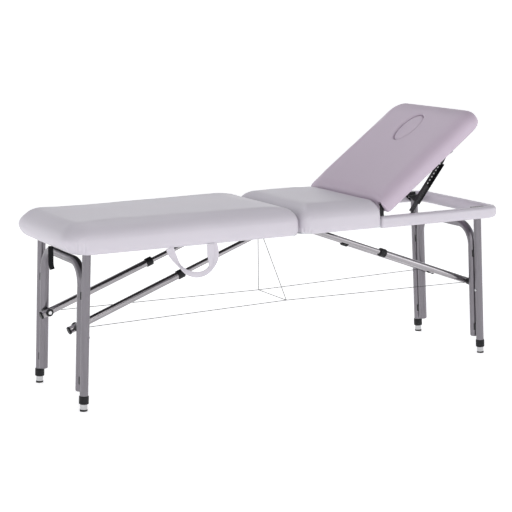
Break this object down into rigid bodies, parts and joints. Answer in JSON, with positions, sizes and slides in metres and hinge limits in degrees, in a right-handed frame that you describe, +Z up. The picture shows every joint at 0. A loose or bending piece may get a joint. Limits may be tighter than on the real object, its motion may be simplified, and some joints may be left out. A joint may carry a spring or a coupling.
{
  "type": "folding massage table",
  "caption": "Two-section folding massage table with padded top, telescopic splayed legs, sliding struts, cable bracing and a tilting backrest with a face hole plug.",
  "frame": {"origin": "on the floor, below the middle of the table's box", "axes": "+X towards the head end along the length, +Y across the width to the far side, +Z up"},
  "size_m": [1.92, 0.6, 1.0449],
  "materials": {
    "vinyl_pad": "soft satin",
    "vinyl_backrest": "soft satin",
    "foam": "open cell",
    "plywood": "dark laminate",
    "frame_aluminium": "brushed",
    "leg_aluminium": "anodised satin",
    "strut_tube": "polished",
    "chrome_foot": "polished",
    "black_plastic": "matte",
    "black_steel": "satin",
    "bright_steel": "bright",
    "rubber_pad": "matte",
    "steel_cable": "stranded",
    "webbing": "woven"
  },
  "bodies": {
    "foot_leaf": {"foot_frame": "frame_aluminium", "foot_deck": "plywood", "foot_foam": "foam", "foot_cover": "vinyl_pad", "foot_leg_brackets": "black_steel", "foot_strut_brackets": "black_steel", "foot_fasteners": "bright_steel", "foot_hinge_flaps": "bright_steel", "cable_anchor": "black_plastic", "carry_strap": "vinyl_pad", "closing_strap": "webbing"},
    "centre_pins": {"centre_hinge_pins": "bright_steel", "side_cables": "steel_cable", "cable_hangers": "steel_cable"},
    "head_leaf": {"head_frame": "frame_aluminium", "seat_deck": "plywood", "seat_foam": "foam", "seat_cover": "vinyl_pad", "rail_covers": "vinyl_pad", "head_leg_brackets": "black_steel", "head_strut_brackets": "black_steel", "head_fasteners": "bright_steel", "head_hinge_flaps": "bright_steel", "backrest_rail_brackets": "black_steel"},
    "foot_leg": {"foot_leg_frame": "leg_aluminium", "foot_leg_tubes": "leg_aluminium", "foot_leg_collars": "black_plastic", "foot_leg_blocks": "black_plastic"},
    "foot_rods": {"foot_strut_rods": "strut_tube"},
    "foot_strut": {"foot_strut_tubes": "strut_tube", "foot_strut_fittings": "black_plastic", "foot_strut_bolts": "bright_steel"},
    "foot_near_foot": {"foot_near_inner_tube": "chrome_foot", "foot_near_foot_pad": "rubber_pad"},
    "foot_near_catch": {"foot_near_button": "bright_steel"},
    "foot_far_foot": {"foot_far_inner_tube": "chrome_foot", "foot_far_foot_pad": "rubber_pad"},
    "foot_far_catch": {"foot_far_button": "bright_steel"},
    "head_leg": {"head_leg_frame": "leg_aluminium", "head_leg_tubes": "leg_aluminium", "head_leg_collars": "black_plastic", "head_leg_blocks": "black_plastic"},
    "head_rods": {"head_strut_rods": "strut_tube"},
    "head_strut": {"head_strut_tubes": "strut_tube", "head_strut_fittings": "black_plastic", "head_strut_bolts": "bright_steel"},
    "head_near_foot": {"head_near_inner_tube": "chrome_foot", "head_near_foot_pad": "rubber_pad"},
    "head_near_catch": {"head_near_button": "bright_steel"},
    "head_far_foot": {"head_far_inner_tube": "chrome_foot", "head_far_foot_pad": "rubber_pad"},
    "head_far_catch": {"head_far_button": "bright_steel"},
    "backrest": {"backrest_board": "plywood", "backrest_foam": "foam", "backrest_cover": "vinyl_backrest", "backrest_brackets": "black_steel"},
    "plug": {"face_plug": "vinyl_pad"},
    "channels": {"brace_channels": "black_steel"},
    "arms": {"brace_arms": "bright_steel"}
  },
  "joints": [
    {"name": "centre_fold", "type": "hinge", "parent": "foot_leaf", "child": "centre_pins", "pos_m": [0, 0, 0.582], "axis": [0, 1, 0], "range_deg": [0, 90], "deforming": ["side_cables", "cable_hangers"]},
    {"name": "centre_close", "type": "hinge", "parent": "centre_pins", "child": "head_leaf", "pos_m": [0, 0, 0.582], "axis": [0, 1, 0], "range_deg": [0, 90], "deforming": ["carry_strap", "closing_strap"]},
    {"name": "foot_leg_fold", "type": "hinge", "parent": "foot_leaf", "child": "foot_leg", "pos_m": [-0.8727, 0, 0.606], "axis": [0, -1, 0], "range_deg": [0, 92.87]},
    {"name": "foot_rod_swing", "type": "hinge", "parent": "foot_leaf", "child": "foot_rods", "pos_m": [-0.062, 0, 0.607], "axis": [0, 1, 0], "range_deg": [0, 20.28]},
    {"name": "foot_strut_slide", "type": "slide", "parent": "foot_rods", "child": "foot_strut", "axis": [0.9374, 0, 0.3484], "range_m": [0, 0.3771]},
    {"name": "foot_near_foot_slide", "type": "slide", "parent": "foot_leg", "child": "foot_near_foot", "axis": [-0.0499, 0, -0.9988], "range_m": [0, 0.18]},
    {"name": "foot_near_button_press", "type": "slide", "parent": "foot_leg", "child": "foot_near_catch", "axis": [-0.9988, 0, 0.0499], "range_m": [-0.002, 0], "stiffness_N_per_m": 600, "springref_m": 0.004},
    {"name": "foot_far_foot_slide", "type": "slide", "parent": "foot_leg", "child": "foot_far_foot", "axis": [-0.0499, 0, -0.9988], "range_m": [0, 0.18]},
    {"name": "foot_far_button_press", "type": "slide", "parent": "foot_leg", "child": "foot_far_catch", "axis": [-0.9988, 0, 0.0499], "range_m": [-0.002, 0], "stiffness_N_per_m": 600, "springref_m": 0.004},
    {"name": "head_leg_fold", "type": "hinge", "parent": "head_leaf", "child": "head_leg", "pos_m": [0.8727, 0, 0.606], "axis": [0, 1, 0], "range_deg": [0, 92.87]},
    {"name": "head_rod_swing", "type": "hinge", "parent": "head_leaf", "child": "head_rods", "pos_m": [0.062, 0, 0.607], "axis": [0, -1, 0], "range_deg": [0, 20.28]},
    {"name": "head_strut_slide", "type": "slide", "parent": "head_rods", "child": "head_strut", "axis": [-0.9374, 0, 0.3484], "range_m": [0, 0.3771]},
    {"name": "head_near_foot_slide", "type": "slide", "parent": "head_leg", "child": "head_near_foot", "axis": [0.0499, 0, -0.9988], "range_m": [0, 0.18]},
    {"name": "head_near_button_press", "type": "slide", "parent": "head_leg", "child": "head_near_catch", "axis": [0.9988, 0, 0.0499], "range_m": [-0.002, 0], "stiffness_N_per_m": 600, "springref_m": 0.004},
    {"name": "head_far_foot_slide", "type": "slide", "parent": "head_leg", "child": "head_far_foot", "axis": [0.0499, 0, -0.9988], "range_m": [0, 0.18]},
    {"name": "head_far_button_press", "type": "slide", "parent": "head_leg", "child": "head_far_catch", "axis": [0.9988, 0, 0.0499], "range_m": [-0.002, 0], "stiffness_N_per_m": 600, "springref_m": 0.004},
    {"name": "backrest_tilt", "type": "hinge", "parent": "head_leaf", "child": "backrest", "pos_m": [0.376, 0, 0.676], "axis": [0, -1, 0], "range_deg": [-37, 5]},
    {"name": "brace_swing", "type": "hinge", "parent": "backrest", "child": "channels", "pos_m": [0.72395, 0, 0.87559], "axis": [0, -1, 0], "range_deg": [-12.06, 1.65]},
    {"name": "brace_extend", "type": "slide", "parent": "channels", "child": "arms", "axis": [-0.6131, 0, -0.79], "range_m": [-0.0789, 0.0108]},
    {"name": "plug_lift", "type": "slide", "parent": "backrest", "child": "plug", "axis": [-0.6018, 0, 0.7986], "range_m": [0, 0.09]}
  ],
  "couplings": [
    {"joint": "foot_leg_fold", "follows": "centre_fold", "ratio": 1.0318},
    {"joint": "foot_rod_swing", "follows": "centre_fold", "ratio": 0.22526},
    {"joint": "foot_strut_slide", "follows": "centre_fold", "m_per_rad": 0.23991},
    {"joint": "head_leg_fold", "follows": "centre_fold", "ratio": 1.0318},
    {"joint": "head_rod_swing", "follows": "centre_fold", "ratio": 0.22526},
    {"joint": "head_strut_slide", "follows": "centre_fold", "m_per_rad": 0.23991},
    {"joint": "brace_swing", "follows": "backrest_tilt", "ratio": 0.32543},
    {"joint": "brace_extend", "follows": "backrest_tilt", "m_per_rad": 0.12181}
  ]
}
